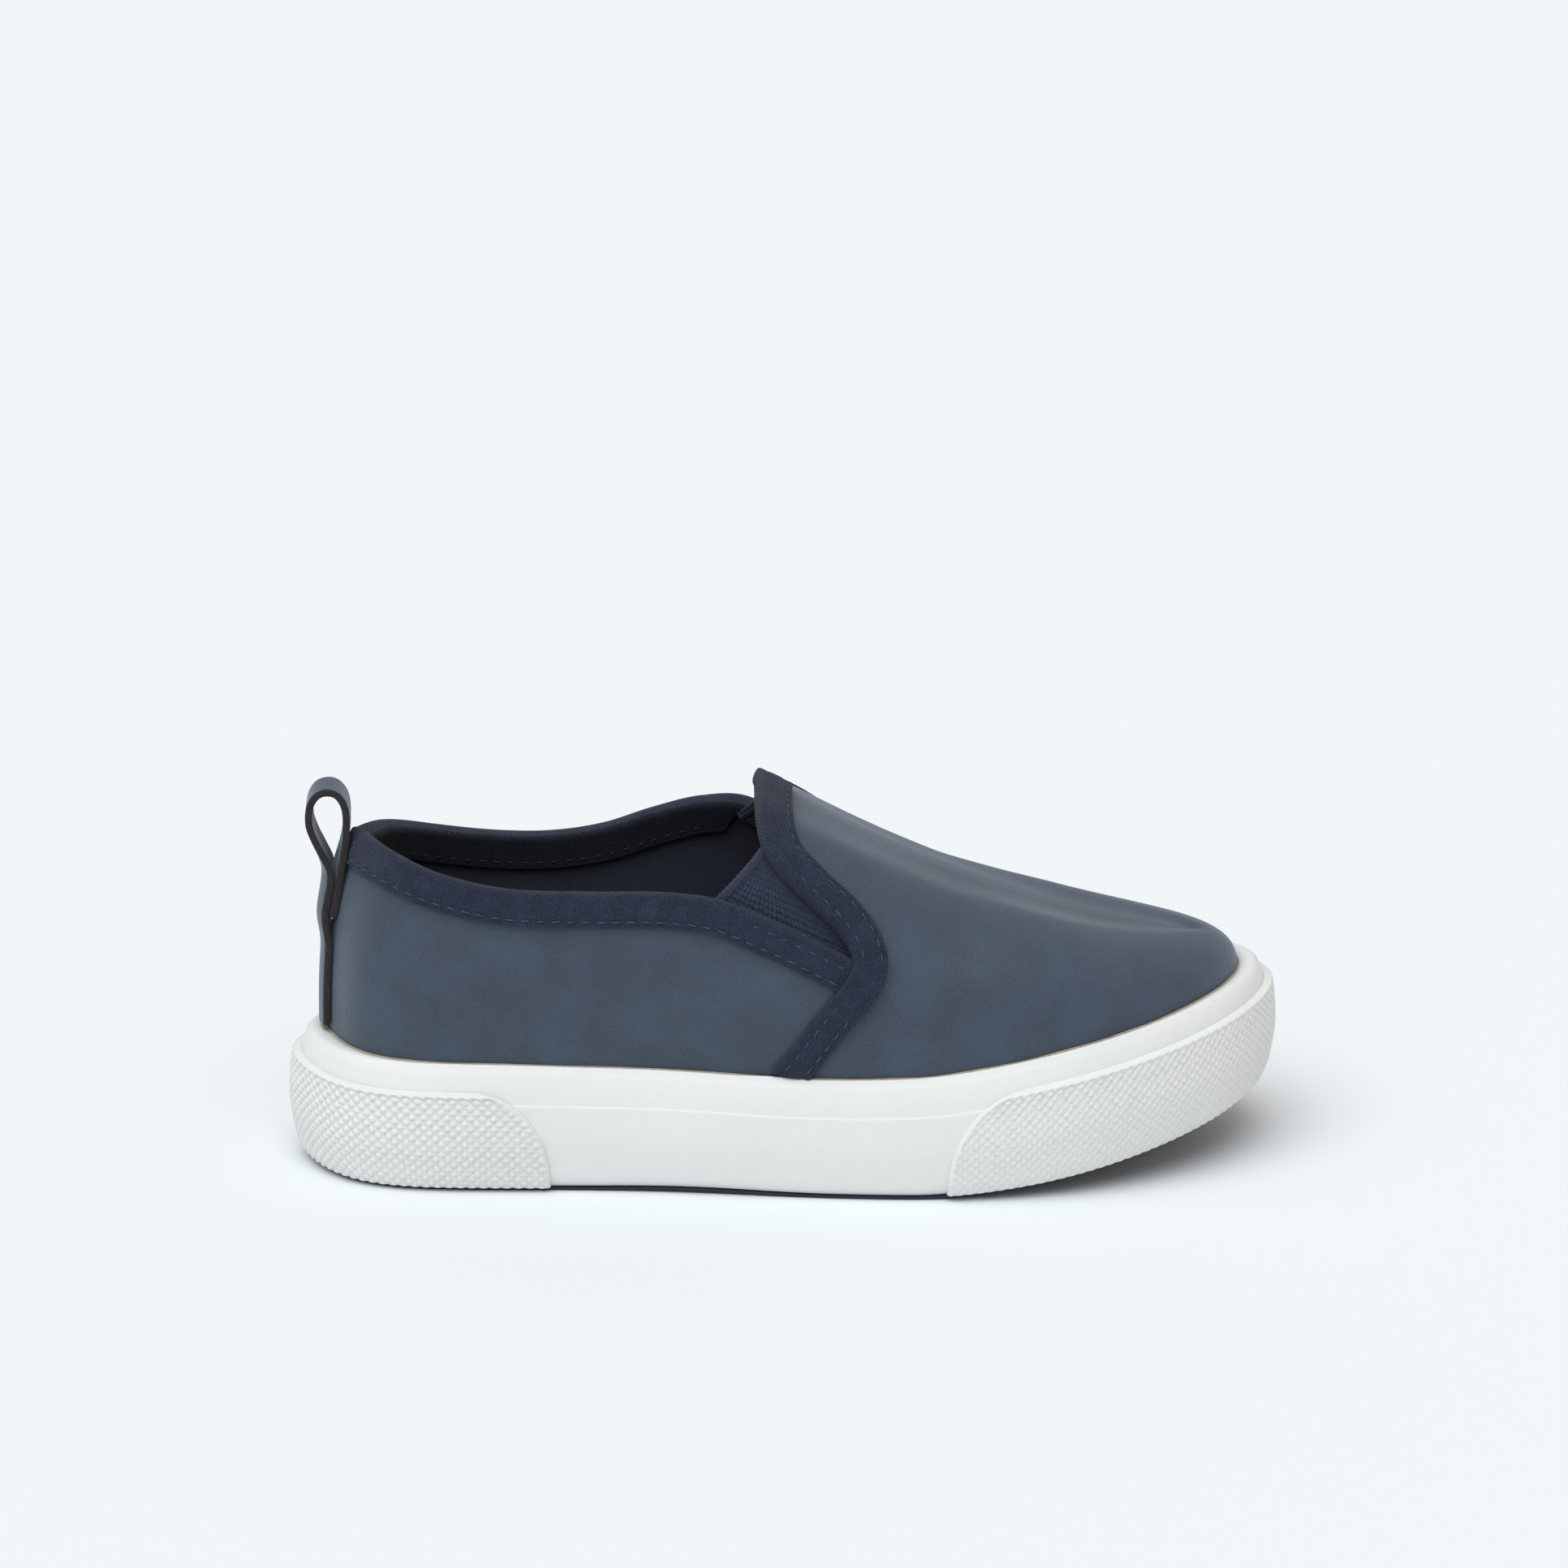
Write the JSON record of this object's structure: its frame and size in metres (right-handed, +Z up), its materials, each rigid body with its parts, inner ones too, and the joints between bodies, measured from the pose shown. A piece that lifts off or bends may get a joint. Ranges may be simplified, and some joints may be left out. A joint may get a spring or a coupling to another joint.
{
  "type": "slip-on sneaker",
  "caption": "Child's low slip-on sneaker for the right foot: closed vamp, elastic side gores, bound collar, heel pull loop and a thick rubber foxing with heel and toe bumpers.",
  "frame": {"origin": "on the floor, under the middle of the shoe's box", "axes": "+X to the toe, +Y to the inner (medial) side of the foot, +Z up"},
  "size_m": [0.182, 0.0688, 0.0709],
  "materials": {
    "white_rubber": "white foxing rubber, satin",
    "navy_rubber": "navy outsole rubber",
    "blue_leather": "grey-blue fine-grained leather, soft sheen",
    "navy_canvas": "navy woven tape, matt",
    "navy_elastic": "ribbed navy elastic, matt",
    "insole_cloth": "dark lining cloth, matt"
  },
  "bodies": {
    "root": {"outsole": "navy_rubber", "foxing": "white_rubber", "heel_bumper": "white_rubber", "toe_bumper": "white_rubber", "insole": "insole_cloth", "upper": "blue_leather", "quarter_binding": "navy_canvas", "vamp_binding": "navy_canvas", "gore_lateral": "navy_elastic", "gore_medial": "navy_elastic", "pull_loop": "blue_leather"}
  },
  "joints": []
}
